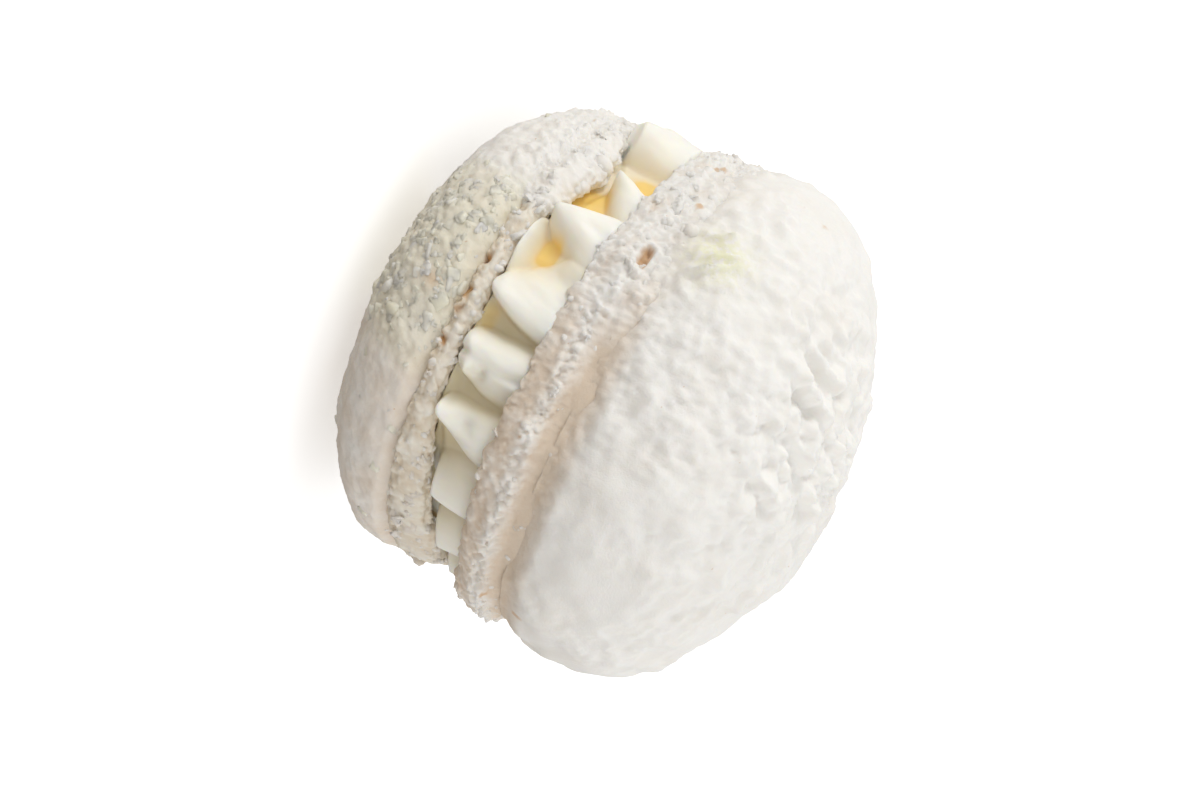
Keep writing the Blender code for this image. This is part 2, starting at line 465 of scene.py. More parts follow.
def meringue_material(colours):
    """Dry almond meringue: white and mottled, with baked cracks, sugar and flakes where painted, and crumb
    colour that also lays painted shade into creases and hollows.
    """
    glow = {"Subsurface_Weight": 0.18, "Subsurface_Scale": 0.0012, "Subsurface_Radius": (1.0, 0.75, 0.5)}
    sheet = Sheet("almond_meringue", Specular_IOR_Level=0.35, **glow)
    patches = sheet.noise(4.5 * MM, detail=3)
    grain = sheet.noise(0.5 * MM, detail=4, roughness=0.6, shift=0.3)
    specks = sheet.noise(0.42 * MM, detail=1, shift=0.7)
    toast, crumb, sugar, flake = map(sheet.painted, SHELL_PAINTS)
    colour = sheet.mix(patches.between(0.42, 0.72) * 0.45, colours.meringue, colours.meringue_warm)
    # Crumb colour where painted: partly the crumb itself, partly painted shade in creases and hollows and
    # at the right.
    colour = sheet.mix(crumb * (0.55 + 0.6 * grain), colour, colours.crumb)
    colour = sheet.mix(sugar * (0.5 + 0.6 * patches), colour, colours.sugary)
    colour = sheet.mix(flake * grain.between(0.35, 0.6), colour, colours.flake)
    stray = specks.between(0.79, 0.83) * 0.5
    colour = sheet.mix((toast + stray).clamped(), colour, colours.toasted)
    fine = sheet.noise(0.16 * MM, detail=3, roughness=0.65, shift=1.1)
    relief = sheet.bump(grain * 0.6 + fine * 0.4, 0.16 * MM, 0.55)
    sheet.shade(Base_Color=colour, Roughness=0.82 - 0.3 * sugar * fine, Normal=relief)
    return sheet.material


def cream_material(colours):
    """Whipped buttercream: satin and ivory on the ridges, with painted shade between them: deep yellow with
    a painted warm glow at the left and khaki at the right.
    """
    glow = {"Subsurface_Weight": 0.35, "Subsurface_Scale": 0.0016, "Subsurface_Radius": (1.0, 0.7, 0.3)}
    sheet = Sheet("piped_buttercream", Specular_IOR_Level=0.45, **glow)
    deep = sheet.painted("deep")
    swirl = sheet.noise(2.4 * MM, detail=2)
    fine = sheet.noise(0.35 * MM, detail=3, shift=0.4)
    shade = sheet.painted("shade")
    # The valleys take painted shade where deep is painted: amber with a painted glow at the left, khaki at
    # the right.
    recess = sheet.mix(shade, colours.cream_deep, colours.cream_shade)
    colour = sheet.mix((deep * (0.8 + 0.4 * swirl)).clamped(), colours.cream, recess)
    sheet.shade(
        Base_Color=colour,
        Roughness=0.42 + 0.16 * fine,
        Normal=sheet.bump(swirl * 0.5 + fine * 0.5, 0.08 * MM, 0.35),
    )
    return sheet.material


def sugar_material(colours):
    """Sugar crystals: pale, glassy, and each of its own tone."""
    glow = {"Subsurface_Weight": 0.4, "Subsurface_Scale": 0.0008, "Subsurface_Radius": (1.0, 0.9, 0.7)}
    sheet = Sheet("sugar", Specular_IOR_Level=0.5, **glow)
    own = sheet.painted("tone")
    fine = sheet.noise(0.15 * MM, detail=2, shift=0.9)
    colour = sheet.mix(own.between(0.2, 0.7), colours.meringue_warm, colours.sugary)
    sheet.shade(
        Base_Color=sheet.mix(own.between(0.7, 1.6), colour, colours.meringue),
        Roughness=0.35 + 0.3 * fine,
        Normal=sheet.bump(fine, 0.03 * MM, 0.4),
    )
    return sheet.material


def floor_material(colours):
    """A plain pale floor with the faintest mottle."""
    sheet = Sheet("pale_floor", Roughness=0.9, Specular_IOR_Level=0.1, Emission_Strength=0.3)
    mottle = sheet.noise(60 * MM, detail=2)
    lighter = [min(1.0, channel * 1.02) for channel in colours.floor]
    sheet.shade(Base_Color=sheet.mix(mottle, colours.floor, lighter), Emission_Color=(1.0, 1.0, 1.0))
    return sheet.material


LOOKS = {"almond_meringue": meringue_material, "piped_buttercream": cream_material, "sugar": sugar_material}


def shared_material(look):
    """The material of a look, made the first time it is asked for."""
    return bpy.data.materials.get(look) or LOOKS[look](bpy.context.scene.macaron_colours)


# The upper shell

# The crumb paint carries both crumb colour and painted shade.
SHELL_PAINTS = ["toast", "crumb", "sugar", "flake"]

# Bearings between which the upper shell's edge is white and broken
BROKEN_SIDE = (-112, -12)

# (lobes round the outline, share of the radius, azimuth)
UPPER_OUTLINE = [(1, 0.003, 0), (2, 0.006, 0), (3, 0.008, 75), (5, 0.004, 10)]

# (azimuth, distance as a share of the radius, height and width in metres)
UPPER_HILLS = [
    (0, 0.36, 0.0007, 0.007),
    (20, 0.85, -0.0012, 0.008),
    (180, 0.85, -0.0005, 0.008),
    (215, 0.62, -0.0005, 0.007),
    (150, 0.62, -0.0006, 0.006),
    (5, 0.72, -0.0005, 0.005),
    (8, 0.93, 0.0022, 0.0045),
]

# (bearing, height and half length in millimetres)
PEELS = [(-34, 8.5, 1.1), (-30.3, 8.2, 0.7), (-28.2, 7.2, 0.9), (-39, 7.7, 0.8)]

# (bearing, height and size in millimetres)
FOOT_SPECKS = [(-64, 3.6, 0.5), (18.5, 2.1, 0.22), (64, 3.4, 0.3), (-45, 4.6, 0.35)]

# (x, y) in millimetres
UPPER_FOLDS = [(-8.6, -12.6), (-6.4, -13.9), (-2.0, -12.0), (1.5, -14.2), (-4.6, -9.2), (0.6, -8.2)]

# (x, y, z, size) in millimetres
UPPER_SPECKS = [
    (-0.4, -2.5, 21.6, 0.55),
    (-17.9, -8.5, 12.6, 0.35),
    (-13.2, -8.3, 17.3, 0.45),
    (19.2, -9.0, 6.3, 0.5),
]


def stretched(point, outline):
    """How much wider than round an outline is at a point: a list of (lobes, share, azimuth)."""
    around = atan2(point.y, point.x)
    return 1.0 + sum(share * cos(lobes * (around - radians(azimuth))) for lobes, share, azimuth in outline)


def tilted(point, sizes):
    """A point of the upper shell put where the shell stands."""
    return Matrix.Rotation(-sizes.upper_tilt, 3, "X") @ point + Vector((0, 0, sizes.upper_base))


def foot_tuck(sizes, point, height):
    """How far the upper shell is tucked in at the left, at a height above its foot."""
    out = max(MM, hypot(point.x, point.y))
    low = 1 - smooth_step(0.0, 5.5 * MM, height)
    return sizes.foot_tuck * low * max(0.0, -point.x / out) ** 2


def upper_dome_move(sizes):
    """How the upper dome's crust is lumpy, wrinkled and flaky."""
    radius, foot = sizes.upper_radius, sizes.upper_foot
    widest = foot + WIDEST_SHARE * sizes.upper_dome
    flaky = Vector((-11.5 * MM, -17.0 * MM, 8.2 * MM))
    folds = [Vector((x, y, 0)) * MM for x, y in UPPER_FOLDS]

    def move(co):
        point = co.copy()
        bearing = bearing_of(co)
        tuck = max(0.0, min(1.0, (widest - co.z) / (widest - foot)))
        wide = stretched(point, UPPER_OUTLINE)
        wide += (sizes.crease - upper_crease(bearing)) * tuck**2 / radius
        wide -= 0.5 * MM * rightward(bearing, -25, 5) * (1 - smooth_step(0.0, 5 * MM, co.z - foot)) / radius
        wide -= foot_tuck(sizes, co, co.z - foot) / radius
        widen(point, wide)
        share = smooth_step(0.0, 1.6 * MM, co.z - foot)
        outward = Vector((co.x, co.y, 1.3 * (co.z - foot))).normalized()
        for azimuth, distance, height, width in UPPER_HILLS:
            turn = radians(azimuth)
            away = hypot(co.x - cos(turn) * radius * distance, co.y - sin(turn) * radius * distance)
            point.z += height * share * hump(away, width)
        wrinkled = hump((co - Vector((-4 * MM, -9 * MM, 20 * MM))).length, 9.5 * MM)
        wrinkled += 0.5 * hump(hypot(co.x - 11 * MM, co.y + 7 * MM), 5 * MM)
        lean = Vector((co.x + 0.5 * co.y, 1.6 * co.y - 0.6 * co.x, co.z))
        rough = 0.5 + 0.8 * bump_between(-60, 12, bearing, 18) + 0.7 * grain_noise(co, 6 * MM, 12.0)
        relief = 0.00040 * grain_noise(co, 5.0 * MM, 1.7) + 0.00026 * grain_noise(co, 2.3 * MM, 3.9)
        relief += rough * 0.00032 * grain_noise(co, 1.25 * MM, 3.1)
        relief += rough * 0.00018 * grain_noise(co, 0.60 * MM, 5.3)
        relief += rough * 0.00008 * grain_noise(co, 0.30 * MM, 7.9)
        peeled = max(0.0, grain_noise(lean, 2.6 * MM, 2.2) + 0.10)
        relief += wrinkled * 0.0010 * (min(0.35, peeled) / 0.35 * smooth_step(0.0, 0.06, peeled) - 0.5)
        relief += wrinkled * 0.00052 * grain_noise(lean, 1.1 * MM, 8.8)
        for fold in folds:
            away = co.xy - fold.xy
            along = (away.x * 0.45 + away.y * 0.9) / (2.4 * MM)
            over = away.x * 0.9 - away.y * 0.45
            ridge = exp(-(along**2) - ((over / (0.5 * MM)) ** 2))
            groove = exp(-(along**2) - (((over - 1.0 * MM) / (0.5 * MM)) ** 2))
            relief += (0.0007 * ridge - 0.0006 * groove) * share
        for turn, height, long in PEELS:
            over = angle_apart(bearing, turn - 2.0 * (co.z / MM - height)) * 0.37
            along = (co.z / MM - height) / long
            relief += 0.0007 * exp(-(along**4) - (over / 0.32) ** 2)
        flake = hump((point - flaky).length, 2.3 * MM)
        left = bump_between(*BROKEN_SIDE, bearing, 8)
        low = 1 - smooth_step(0.4 * MM, 4.2 * MM, co.z - foot + 1.2 * MM * grain_noise(co, 2.0 * MM, 33.0))
        ragged = low * (0.12 + 0.88 * left)
        point += outward * relief
        point += outward * crust(point, 0.75 * ragged)
        # Painted shade: the crumb colour under the dome's lip, where it tucks in and faces down, fading out
        # at the broken left, plus real crumb on the ragged broken crust.
        crumb = 1.35 * tuck**0.8 * (1 - 0.9 * left) + 0.12 * ragged
        speck = 0.0
        for x, y, z, size in UPPER_SPECKS:
            away = (point - Vector((x, y, z)) * MM).length / (size * MM)
            if away < 2:
                speck = max(speck, smooth_step(1.2, 0.5, away + 0.8 * grain_noise(co, 0.5 * MM, 3.0)))
        return tilted(point, sizes), 0.6 * speck, max(0.0, crumb), 0.0, flake

    return move


def upper_crease(bearing):
    """How far the upper dome turns in above its foot: little at the left, more at the right."""
    return (0.25 + 0.45 * bump_between(-8, 95, bearing, 16)) * MM


def curled_up(bearing, out):
    """How far the upper foot's lower edge curls up at both sides of the front, out from the axis."""
    curl = 0.75 * bump_between(-82, -36, bearing, 14) + 0.45 * bump_between(38, 80, bearing, 18)
    return curl * MM * smooth_step(0.0, 16 * MM, out)


def upper_foot_move(sizes):
    """How the upper foot is ruffled and crumbly."""
    foot = sizes.upper_foot

    def move(co):
        point = co.copy()
        bearing = bearing_of(co)
        out = max(MM, hypot(co.x, co.y))
        radial = Vector((co.x, co.y, 0)) / out
        wall = smooth_step(sizes.upper_radius - 2.4 * MM, sizes.upper_radius - 1.1 * MM, out)
        left = bump_between(*BROKEN_SIDE, bearing, 8)
        upper = smooth_step(0.7 * foot, foot, co.z)
        ruffle = hump(co.z - (0.62 + 0.1 * grain_noise(radial, 0.25, 3.0)) * foot, 0.75 * MM)
        low = 1 - smooth_step(0.0, 1.1 * MM, co.z)
        shift = 0.00035 * grain_noise(co, 3.2 * MM, 11.0)
        shift -= foot_tuck(sizes, co, co.z - foot)
        creased = upper_crease(bearing) - 0.05 * MM
        shift -= creased * smooth_step(0.62 * foot, 0.95 * foot, co.z) * (1 - left)
        shift += 0.35 * MM * left * upper
        shift -= 0.00030 * (1 - smooth_step(0.1 * foot, 0.45 * foot, co.z))
        widen(point, stretched(point, UPPER_OUTLINE))
        point += radial * shift * wall
        around = radial * 21 * MM
        hang = grain_noise(around, 1.5 * MM, 6.0) + 0.7 * grain_noise(around, 0.6 * MM, 3.0)
        point.z -= low * wall * 0.00045 * max(-0.5, hang)
        point.z += curled_up(bearing, out) * (1 - smooth_step(0.0, 3.2 * MM, co.z))
        clumped = 0.45 + 0.75 * ruffle + 0.25 * low
        rough = left + (1 - left) * clumped * (1 - 0.75 * upper)
        raised = crust(point)
        point += (radial + Vector((0, 0, 0.25))) * raised * rough * wall
        hole = exp(-((angle_apart(bearing, -26.8) / 2.9) ** 2) - (((co.z - 3.5 * MM) / (0.5 * MM)) ** 2))
        hole = smooth_step(0.3, 0.6, hole + 0.3 * grain_noise(co, 0.7 * MM, 14.0))
        point -= radial * 0.0006 * hole
        brown = 0.85 * hole
        for turn, height, size in FOOT_SPECKS:
            away = hypot(angle_apart(bearing, turn) * 0.36, (co.z - height * MM) / MM) / size
            brown = max(brown, 0.7 * ragged_spot(away, co))
        # crumb_and_shade mixes crumb colour with painted shade: more at the right, away from the key light,
        # most in the crease under the dome at the right, and in the hollows between raised crust; less on
        # the ruffle.
        crumb_and_shade = 0.15 + 0.8 * rightward(bearing, -32, 12) + 0.5 * grain_noise(co, 1.6 * MM, 21.0)
        crumb_and_shade *= 1 - 0.75 * ruffle
        crumb_and_shade -= 0.7 * (raised / MM + 0.18) * (1 - upper)
        crumb_and_shade += 0.75 * upper * rightward(bearing, -20, 8)
        return tilted(point, sizes), brown, max(0.0, crumb_and_shade), 0.0, 0.0

    return move


# (distance inside the shell's radius in millimetres, share of the foot's height, millimetres above it)
UPPER_WALL = [
    (2.6, 1, 1.6),
    (1.2, 1, 1.4),
    (0.55, 1, 0.9),
    (0.50, 1, 0),
    (0.50, 0.85, 0),
    (0.20, 0.68, 0),
    (0.25, 0.52, 0),
    (0.40, 0.34, 0),
    (0.45, 0.16, 0),
    (0.75, 0.03, 0),
    (1.40, 0, 0),
    (3.0, 0, 0),
]


class MACARON_OT_upper_shell(bpy.types.Operator):
    """Makes the upper shell's dome and its ruffled foot"""

    bl_idname = "macaron.upper_shell"
    bl_label = "Upper shell"

    def execute(self, context):
        sizes = context.scene.macaron_sizes
        radius, foot = sizes.upper_radius, sizes.upper_foot
        rows = dome_rows(radius, foot, sizes.upper_dome, 2.3, 0.0, sizes.crease, 0.235 * MM)
        shape = turned(rows, DOME_STEPS)
        sculpt(shape, upper_dome_move(sizes), SHELL_PAINTS)
        finished(shape, "upper_dome", "upper", "almond_meringue")
        corners = [(radius - inset * MM, share * foot + above * MM) for inset, share, above in UPPER_WALL]
        wall = rounded_rows(corners, 0.14 * MM)
        rows = [(0.0, foot + 1.6 * MM)] + wall + [(radius - 5 * MM, 0.0), (0.0, 0.0)]
        shape = turned(rows, FOOT_STEPS)
        sculpt(shape, upper_foot_move(sizes), SHELL_PAINTS)
        finished(shape, "upper_foot", "upper", "almond_meringue")
        return {"FINISHED"}


# The lower shell

# (lobes round the outline, share of the radius, azimuth)
LOWER_OUTLINE = [(1, 0.010, 0), (2, 0.005, -10), (3, 0.006, 0), (4, 0.003, -30)]


def lower_dome_move(sizes):
    """How the lower dome is smooth at the right, crusty at the left and sugary at the front."""

    def move(co):
        point = Vector((co.x, co.y, sizes.ledge - co.z))
        wide = stretched(point, LOWER_OUTLINE)
        bearing = bearing_of(point)
        middle = bump_between(0.5 * MM, 8 * MM, point.z, 2.5 * MM)
        wide -= 0.028 * bump_between(-130, -52, bearing, 25) * middle
        widen(point, wide)
        share = smooth_step(0.0, 1.2 * MM, point.z)
        outward = Vector((co.x, co.y, 1.6 * (point.z - 9 * MM))).normalized()
        sugary = bump_between(-32, 16, bearing + 6 * grain_noise(point, 3 * MM, 1.0), 7)
        crusty = bump_between(-100, -29, bearing + 7 * grain_noise(point, 2 * MM, 6.0), 3)
        relief = 0.00022 * grain_noise(point, 5 * MM, 4.2)
        relief += 0.00016 * grain_noise(point, 1.3 * MM, 8.0) + 0.00010 * grain_noise(point, 0.5 * MM, 18.0)
        relief += sugary * 0.00030 * crumbly(point, 1.3 * MM, 3.0)
        relief += sugary * 0.00012 * grain_noise(point, 0.5 * MM, 6.0)
        point += outward * relief * share
        high = smooth_step(3 * MM, 8 * MM, point.z)
        point += outward * crust(point, crusty * high * 0.8)
        point.z = max(0.0, point.z)
        crease = smooth_step(7.6 * MM, 9.6 * MM, point.z)
        # Crumb colour, with painted shade rising towards the crease under the foot.
        crumb = 0.45 + 0.3 * crease + 0.4 * grain_noise(point, 2.2 * MM, 17.0)
        up = (point.z - 7.2 * MM) / (0.9 * MM)
        brown = 0.5 * exp(-((angle_apart(bearing, -1) / 2.2) ** 2) - up**2)
        side = hypot(angle_apart(bearing, -63.6) * 0.34, (point.z - 9.2 * MM) / MM) / 0.5
        brown = max(brown, 0.8 * ragged_spot(side, point))
        return point, brown, max(0.0, crumb) * (1 - 0.9 * crusty), 0.8 * sugary, 0.0

    return move


def lower_foot_move(sizes):
    """How the lower foot crumbles, cracks, and stands up where its rim hasn't broken off."""
    crease_height = sizes.lower_dome

    def move(co):
        point = co.copy()
        out = max(MM, hypot(co.x, co.y))
        radial = Vector((co.x, co.y, 0)) / out
        bearing = bearing_of(co)
        wall = smooth_step(sizes.lower_radius - 2.6 * MM, sizes.lower_radius - 1.4 * MM, out)
        crusty = bump_between(-100, -27, bearing, 2)
        above = co.z - crease_height
        low = 1 - smooth_step(0.2 * MM, 0.9 * MM, above)
        widen(point, stretched(point, LOWER_OUTLINE))
        shift = 0.00030 * grain_noise(co, 2.2 * MM, 31.0)
        shift -= 0.6 * MM * (1 - crusty) * (1 - smooth_step(-0.2 * MM, 0.25 * MM, above))
        standing = smooth_step(0.2, 1.5, rim_lift(bearing) / MM)
        shift -= 0.35 * MM * standing * smooth_step(0.6 * MM, 1.8 * MM, above)
        point += radial * shift * wall
        inside = sizes.lower_radius - sizes.rim_thickness - 0.4 * MM
        rim = smooth_step(inside, sizes.lower_radius - 1.4 * MM, out)
        lift = rim_lift(bearing + 1.5 * grain_noise(co, 1.1 * MM, 22.0))
        point.z += smooth_step(0.2 * MM, 1.8 * MM, above) * rim * lift
        low_edge = hump(above - 0.3 * MM, 0.35 * MM) * wall * (1 - crusty)
        point.z -= low_edge * 0.0006 * max(-0.3, grain_noise(radial * 20 * MM, 0.9 * MM, 55.0) + 0.2)
        gap = bump_between(-13.5, -6, bearing, 1.5) + bump_between(-5, 3, bearing, 1.2)
        gap = min(1.0, gap + 0.9 * bump_between(8.5, 11.5, bearing, 1.0))
        gap *= low * wall * smooth_step(-0.30, 0.05, grain_noise(co, 1.1 * MM, 41.0))
        top = smooth_step(0.4 * MM, 1.2 * MM, above)
        push = radial * (1 - 0.6 * top) + Vector((0, 0, 0.8)) * top
        ledge = smooth_step(11.5 * MM, 15 * MM, out) if above > 0 else wall
        raised = crust(point)
        point += push * raised * ledge * (0.75 + 0.15 * crusty)
        point -= radial * 0.0008 * gap
        # crumb_and_shade mixes crumb colour with painted shade near the crease and in the hollows between
        # raised crust, with little on the crusty left.
        crumb_and_shade = 0.62 + 0.6 * grain_noise(co, 1.3 * MM, 27.0) + 0.25 * low - 0.9 * raised / MM
        crumb_and_shade = max(0.0, crumb_and_shade * (1 - 0.9 * crusty), -0.5 * raised / MM)
        return point, min(1.0, 1.4 * gap), crumb_and_shade, 0.35 * (1 - crusty), 0.0

    return move


# (distance inside the shell's radius, distance above the crease) in millimetres
LOWER_WALL = [
    (3.0, -2.0),
    (1.5, -1.8),
    (0.35, -1.2),
    (0.35, -0.3),
    (0.25, 0.25),
    (0.10, 0.7),
    (0.20, 1.2),
    (0.60, 1.65),
]


class MACARON_OT_lower_shell(bpy.types.Operator):
    """Makes the lower shell's dome and its crumbling foot"""

    bl_idname = "macaron.lower_shell"
    bl_label = "Lower shell"

    def execute(self, context):
        sizes = context.scene.macaron_sizes
        radius, crease = sizes.lower_radius, sizes.lower_dome
        foot = sizes.ledge - crease
        rows = dome_rows(radius, foot, crease, 2.1, sizes.resting_radius, sizes.crease, 0.2 * MM)
        shape = turned(rows, DOME_STEPS)
        sculpt(shape, lower_dome_move(sizes), SHELL_PAINTS)
        finished(shape, "lower_dome", "lower", "almond_meringue")
        corners = [(radius - inset * MM, crease + above * MM) for inset, above in LOWER_WALL]
        corners += [(radius - inset * MM, sizes.ledge) for inset in (1.2, 2.6, 5.2)]
        wall = rounded_rows(corners, 0.10 * MM)
        rows = [(0.0, crease - 2.0 * MM)] + wall + [(0.0, sizes.ledge)]
        shape = turned(rows, FOOT_STEPS)
        sculpt(shape, lower_foot_move(sizes), SHELL_PAINTS)
        finished(shape, "lower_foot", "lower", "almond_meringue")
        return {"FINISHED"}


# The filling

# A ridge's bearings are those of its tip and of its edges at the top. Its crest is a share of the way
# between them, each side folds and turns in to the tip at its own rate, its tip starts at a rise, and
# its crest reaches out to a radius in millimetres.
Ridge = namedtuple("Ridge", "tip left right crest left_fold right_fold left_turn right_turn start reach")

FRONT_RIDGES = [
    Ridge(-86, -98, -80, 0.50, 2.0, 2.0, 0.5, 0.5, 0.00, 20.2),
    Ridge(-67, -85, -58, 0.55, 2.0, 3.0, 0.3, 0.3, 0.00, 20.7),
    Ridge(-45.5, -43.5, -30.0, 0.22, 4.0, 1.5, 0.5, 0.7, 0.42, 20.2),
    Ridge(-27.8, -33.4, -18.2, 0.30, 4.0, 2.2, 0.6, 0.75, 0.12, 20.5),
    Ridge(-8.0, -23.5, 0.2, 0.76, 1.3, 4.0, 0.75, 0.4, 0.00, 20.4),
    Ridge(8.0, 2.6, 18.2, 0.40, 2.0, 2.0, 0.12, 0.25, 0.02, 20.1),
    Ridge(23.8, 20.6, 35.0, 0.46, 2.0, 1.9, 0.12, 0.45, 0.06, 19.9),
    Ridge(41.0, 33.0, 48.6, 0.86, 1.15, 4.0, 0.5, 0.3, 0.10, 19.7),
    Ridge(58.5, 50.0, 65.0, 0.86, 1.15, 4.0, 0.5, 0.3, 0.10, 19.8),
    Ridge(77.0, 66.5, 84.0, 0.85, 1.3, 3.0, 0.5, 0.5, 0.05, 19.9),
]
BACK_RIDGES = 10
CREAM_SOFTENING = 2
CREAM_OVERLAP = 0.3 * MM

# (bearing, rise, half width in degrees, half height, how far it stands out in millimetres)
TORN = [
    (13.0, 0.22, 2.2, 0.08, 0.8),
    (9.4, 0.08, 1.0, 0.08, -0.9),
    (12.2, 0.40, 1.6, 0.09, -0.8),
    (10.5, 0.80, 1.2, 0.30, -0.4),
    (5.6, 0.14, 1.8, 0.06, 0.3),
    (25.6, 0.46, 2.3, 0.18, -0.9),
    (23.5, 0.12, 2.2, 0.07, 0.4),
    (-9.5, 0.12, 2.2, 0.08, 0.3),
    (-14.0, 0.62, 2.6, 0.30, -0.4),
    (-46, 0.75, 2.5, 0.12, 0.3),
]

# Spots of painted warm glow deep in the left hollows, where light shines through the cream: (bearing, rise,
# half width in degrees, half height, share)
AMBER_GLOW_SPOTS = [
    (-49.0, 0.85, 6.5, 0.36, 1.0),
    (-38, 0.35, 7.5, 0.30, 1.0),
    (-20.0, 0.36, 4.5, 0.17, 1.0),
    (0.5, 0.10, 3.5, 0.12, 0.45),
]

# Bearings between which the cream bridges a valley at the top, and spreads out at the bottom
WEB = (-24, -15)
SKIRT = (-25, -13)


def filling_ridges():
    """Every ridge of the piped layer: the front ones as they are, and the back ones much alike."""
    first, last = FRONT_RIDGES[0].tip, FRONT_RIDGES[-1].tip
    pitch = (first + 360 - last) / (BACK_RIDGES + 1)
    draws = random.Random(12)
    back = []
    for i in range(BACK_RIDGES):
        tip = last + pitch * (i + 1) + draws.uniform(-2, 2)
        left, right = tip - pitch * draws.uniform(0.40, 0.62), tip + pitch * draws.uniform(0.28, 0.5)
        fold = draws.uniform(1.2, 2.2)
        narrowing = draws.uniform(0.35, 0.7)
        low = draws.uniform(0.0, 0.1)
        back.append(Ridge(tip, left, right, 0.75, fold, 3.0, narrowing, narrowing, low, 19.8))
    return FRONT_RIDGES + back


def filling_move(sizes):
    """How the piped layer folds into petal-like ridges that end in tips over the ledge."""
    ridges = filling_ridges()
    floor = sizes.ledge - 0.1 * MM

    def petal(ridge, bearing, rise):
        """How far a ridge stands out at a bearing and a rise, 0 to 1."""
        grown = max(0.0, rise - ridge.start) / (1 - ridge.start)
        blunt = smooth_step(-0.02, 0.06, rise - ridge.start)
        start = ridge.tip + (ridge.left - ridge.tip) * grown**ridge.left_turn - blunt
        end = ridge.tip + (ridge.right - ridge.tip) * grown**ridge.right_turn + blunt
        if end - start < 0.1:
            return 0.0
        crest = start + ridge.crest * (end - start)
        off = angle_apart(bearing, crest)
        fold = ridge.left_fold if off < 0 else ridge.right_fold
        share = off / (start - crest) if off < 0 else off / (end - crest)
        edge = 0.95 - 0.10 * fold
        return max(0.0, 1 - min(1.0, share) ** fold) ** edge

    def move(co):
        rise = co.z
        bearing = bearing_of(co)
        place = Vector((sin(radians(bearing)), -cos(radians(bearing)), 0))
        wavy = bearing + 0.8 * grain_noise(place * 20 * MM + Vector((0, 0, rise * 5 * MM)), 2.6 * MM, 9.0)
        height, reach = 0.0, sizes.crest_radius
        for ridge in ridges:
            if abs(angle_apart(bearing, ridge.tip)) < 26:
                stands = petal(ridge, wavy, rise)
                if stands > height:
                    height, reach = stands, ridge.reach * MM
        low = 1 - smooth_step(0.0, 0.22, rise)
        skirt = bump_between(*SKIRT, bearing, 4) * (1 - smooth_step(0.06, 0.26, rise))
        web = bump_between(*WEB, bearing, 5) * smooth_step(0.42, 0.75, rise)
        valley = sizes.valley_radius + 0.6 * MM * rise + 0.9 * MM * low
        valley += (1.3 * skirt + 0.9 * web) * MM
        reach -= 0.5 * MM * rise**2 + 0.3 * MM * low
        radius = valley + (reach - valley) * height
        for turn, middle, wide, tall, lift in TORN:
            away = (angle_apart(bearing, turn) / wide) ** 2 + ((rise - middle) / tall) ** 2
            radius += lift * MM * exp(-away)
        level = floor + (sizes.upper_base - floor) * rise - place.y * radius * tan(sizes.upper_tilt) * rise
        hidden = rim_lift(bearing)
        behind = 1 - smooth_step(-0.1 * MM, 0.5 * MM, level - sizes.ledge - hidden)
        behind *= smooth_step(0.1 * MM, 0.5 * MM, hidden)
        radius = min(radius, radius + (sizes.side_crest_radius - radius) * behind)
        slant = Vector((sin(radians(bearing - 4 * rise)), -cos(radians(bearing - 4 * rise)), 0))
        radius += 0.00016 * grain_noise(slant * radius + Vector((0, 0, rise * 3 * MM)), 1.5 * MM, 3.0)
        radius += 0.00006 * grain_noise(slant * radius + Vector((0, 0, rise * 2 * MM)), 0.6 * MM, 6.0)
        out = hypot(co.x, co.y)
        point = place * radius * out
        ceiling = sizes.upper_base + CREAM_OVERLAP - point.y * tan(sizes.upper_tilt)
        ceiling += curled_up(bearing, radius * out)
        point.z = floor + (ceiling - floor) * rise
        # Painted light: amber_glow lays a warm glow of light through the cream into the left hollows.
        amber_glow = 0.0
        for turn, middle, wide, tall, share in AMBER_GLOW_SPOTS:
            away = (angle_apart(bearing, turn) / wide) ** 4 + ((rise - middle) / tall) ** 4
            amber_glow = max(amber_glow, share * exp(-away))
        # Painted shade: deep darkens the valleys between the ridges, and shade turns it from amber at the
        # left to khaki at the right, away from the key light.
        right = rightward(bearing, -8, 2)
        deep = (1 - height) * max(0.45 + 0.42 * right, amber_glow) * (1 - 0.7 * skirt)
        deep = min(1.0, deep + 0.35 * amber_glow * (1 - 0.6 * height)) if out > 0.9 else 0.5
        return point, deep, (0.45 + 0.55 * right) * (1 - amber_glow)

    return move


class MACARON_OT_filling(bpy.types.Operator):
    """Makes the star-piped buttercream layer"""

    bl_idname = "macaron.filling"
    bl_label = "Buttercream"

    def execute(self, context):
        sizes = context.scene.macaron_sizes
        wall = [(1.0, 1 - i / CREAM_ROWS) for i in range(CREAM_ROWS + 1)]
        rows = [(0.0, 1.0), (0.6, 1.0), (0.9, 1.0)] + wall + [(0.9, 0.0), (0.6, 0.0), (0.0, 0.0)]
        shape = turned(rows, CREAM_STEPS)
        sculpt(shape, filling_move(sizes), ["deep", "shade"])
        for _ in range(CREAM_SOFTENING):
            bmesh.ops.smooth_vert(
                shape, verts=shape.verts, factor=0.5, use_axis_x=True, use_axis_y=True, use_axis_z=True
            )
        finished(shape, "piped_cream", "cream", "piped_buttercream")
        return {"FINISHED"}


# Crumbs and sugar


def surface_spots(piece, wanted, count, draws):
    """Random spots on a piece, as (place, normal), spread by area times what wanted gives."""
    faces = sorted(piece.data.polygons, key=lambda face: tuple(face.center))
    weights = [face.area * wanted(face.center) for face in faces]
    picked = draws.choices(faces, weights=weights, k=count)
    return [(face.center.copy(), face.normal.copy()) for face in picked]


